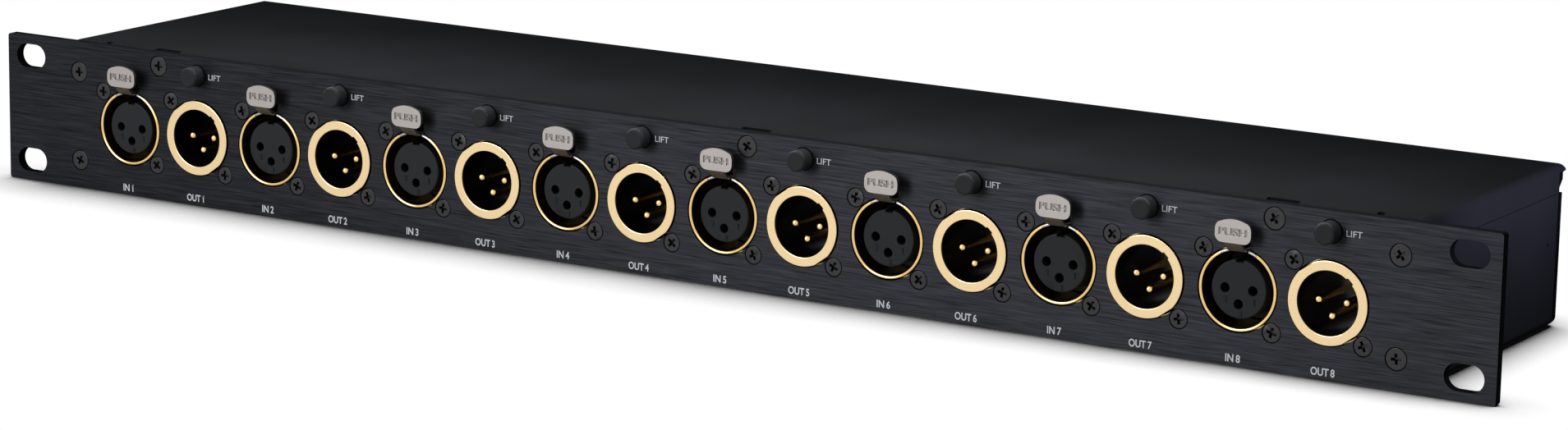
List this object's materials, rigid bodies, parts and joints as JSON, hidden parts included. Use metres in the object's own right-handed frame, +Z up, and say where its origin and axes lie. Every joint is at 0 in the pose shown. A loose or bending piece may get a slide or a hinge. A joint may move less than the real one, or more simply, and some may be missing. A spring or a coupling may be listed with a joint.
{
  "type": "audio patch bay",
  "caption": "Rack-mount audio patch bay and splitter: latching input sockets, pin output sockets and ground-lift buttons in a black panel on a shallow folded chassis.",
  "frame": {"origin": "middle of the panel's rear face, the plane that meets the rack rails, at the centre of the four rack slots", "axes": "+X to the right seen from the front, +Y into the rack, +Z up"},
  "size_m": [0.4826, 0.1015, 0.0443],
  "materials": {
    "panel_anodised": "brushed, black anodised",
    "chassis_powder": "fine satin powder coat, black",
    "screw_black": "black oxide, slightly glossy",
    "gold_plate": "gold plated",
    "nickel_plate": "satin nickel plated",
    "insert_plastic": "moulded, dark grey",
    "cup_plastic": "moulded, black",
    "cap_plastic": "moulded, black",
    "switch_plastic": "moulded, dark grey",
    "plunger_plastic": "moulded, off-white",
    "board_laminate": "green solder mask",
    "lead_plastic": "grey flat lead"
  },
  "bodies": {
    "chassis": {"front_panel": "panel_anodised", "base_tray": "chassis_powder", "top_cover": "chassis_powder", "panel_screws": "screw_black", "cover_screws": "screw_black", "socket_screws": "screw_black", "input_inserts": "insert_plastic", "input_contacts": "gold_plate", "latch_brackets": "nickel_plate", "latch_pins": "nickel_plate", "output_cups": "cup_plastic", "output_pins": "gold_plate", "lift_switches": "switch_plastic", "circuit_board": "board_laminate", "flat_leads": "lead_plastic", "rear_shells": "gold_plate", "rear_cups": "cup_plastic", "rear_pins": "gold_plate", "input_shell_1": "gold_plate", "input_shell_2": "gold_plate", "input_shell_3": "gold_plate", "input_shell_4": "gold_plate", "input_shell_5": "gold_plate", "input_shell_6": "gold_plate", "input_shell_7": "gold_plate", "input_shell_8": "gold_plate", "output_shell_1": "gold_plate", "output_shell_2": "gold_plate", "output_shell_3": "gold_plate", "output_shell_4": "gold_plate", "output_shell_5": "gold_plate", "output_shell_6": "gold_plate", "output_shell_7": "gold_plate", "output_shell_8": "gold_plate"},
    "latch_body_1": {"latch_1": "nickel_plate"},
    "button_body_1": {"lift_cap_1": "cap_plastic", "lift_plunger_1": "plunger_plastic"},
    "latch_body_2": {"latch_2": "nickel_plate"},
    "button_body_2": {"lift_cap_2": "cap_plastic", "lift_plunger_2": "plunger_plastic"},
    "latch_body_3": {"latch_3": "nickel_plate"},
    "button_body_3": {"lift_cap_3": "cap_plastic", "lift_plunger_3": "plunger_plastic"},
    "latch_body_4": {"latch_4": "nickel_plate"},
    "button_body_4": {"lift_cap_4": "cap_plastic", "lift_plunger_4": "plunger_plastic"},
    "latch_body_5": {"latch_5": "nickel_plate"},
    "button_body_5": {"lift_cap_5": "cap_plastic", "lift_plunger_5": "plunger_plastic"},
    "latch_body_6": {"latch_6": "nickel_plate"},
    "button_body_6": {"lift_cap_6": "cap_plastic", "lift_plunger_6": "plunger_plastic"},
    "latch_body_7": {"latch_7": "nickel_plate"},
    "button_body_7": {"lift_cap_7": "cap_plastic", "lift_plunger_7": "plunger_plastic"},
    "latch_body_8": {"latch_8": "nickel_plate"},
    "button_body_8": {"lift_cap_8": "cap_plastic", "lift_plunger_8": "plunger_plastic"}
  },
  "joints": [
    {"name": "latch_push_1", "type": "hinge", "parent": "chassis", "child": "latch_body_1", "pos_m": [-0.19475, 0.007, 0.0102], "axis": [-1, 0, 0], "range_deg": [0, 10], "stiffness_Nm_per_rad": 0.25},
    {"name": "lift_push_1", "type": "slide", "parent": "chassis", "child": "button_body_1", "axis": [0, 1, 0], "range_m": [0, 0.0025], "stiffness_N_per_m": 600},
    {"name": "latch_push_2", "type": "hinge", "parent": "chassis", "child": "latch_body_2", "pos_m": [-0.14275, 0.007, 0.0102], "axis": [-1, 0, 0], "range_deg": [0, 10], "stiffness_Nm_per_rad": 0.25},
    {"name": "lift_push_2", "type": "slide", "parent": "chassis", "child": "button_body_2", "axis": [0, 1, 0], "range_m": [0, 0.0025], "stiffness_N_per_m": 600},
    {"name": "latch_push_3", "type": "hinge", "parent": "chassis", "child": "latch_body_3", "pos_m": [-0.09075, 0.007, 0.0102], "axis": [-1, 0, 0], "range_deg": [0, 10], "stiffness_Nm_per_rad": 0.25},
    {"name": "lift_push_3", "type": "slide", "parent": "chassis", "child": "button_body_3", "axis": [0, 1, 0], "range_m": [0, 0.0025], "stiffness_N_per_m": 600},
    {"name": "latch_push_4", "type": "hinge", "parent": "chassis", "child": "latch_body_4", "pos_m": [-0.03875, 0.007, 0.0102], "axis": [-1, 0, 0], "range_deg": [0, 10], "stiffness_Nm_per_rad": 0.25},
    {"name": "lift_push_4", "type": "slide", "parent": "chassis", "child": "button_body_4", "axis": [0, 1, 0], "range_m": [0, 0.0025], "stiffness_N_per_m": 600},
    {"name": "latch_push_5", "type": "hinge", "parent": "chassis", "child": "latch_body_5", "pos_m": [0.01325, 0.007, 0.0102], "axis": [-1, 0, 0], "range_deg": [0, 10], "stiffness_Nm_per_rad": 0.25},
    {"name": "lift_push_5", "type": "slide", "parent": "chassis", "child": "button_body_5", "axis": [0, 1, 0], "range_m": [0, 0.0025], "stiffness_N_per_m": 600},
    {"name": "latch_push_6", "type": "hinge", "parent": "chassis", "child": "latch_body_6", "pos_m": [0.06525, 0.007, 0.0102], "axis": [-1, 0, 0], "range_deg": [0, 10], "stiffness_Nm_per_rad": 0.25},
    {"name": "lift_push_6", "type": "slide", "parent": "chassis", "child": "button_body_6", "axis": [0, 1, 0], "range_m": [0, 0.0025], "stiffness_N_per_m": 600},
    {"name": "latch_push_7", "type": "hinge", "parent": "chassis", "child": "latch_body_7", "pos_m": [0.11725, 0.007, 0.0102], "axis": [-1, 0, 0], "range_deg": [0, 10], "stiffness_Nm_per_rad": 0.25},
    {"name": "lift_push_7", "type": "slide", "parent": "chassis", "child": "button_body_7", "axis": [0, 1, 0], "range_m": [0, 0.0025], "stiffness_N_per_m": 600},
    {"name": "latch_push_8", "type": "hinge", "parent": "chassis", "child": "latch_body_8", "pos_m": [0.16925, 0.007, 0.0102], "axis": [-1, 0, 0], "range_deg": [0, 10], "stiffness_Nm_per_rad": 0.25},
    {"name": "lift_push_8", "type": "slide", "parent": "chassis", "child": "button_body_8", "axis": [0, 1, 0], "range_m": [0, 0.0025], "stiffness_N_per_m": 600}
  ]
}
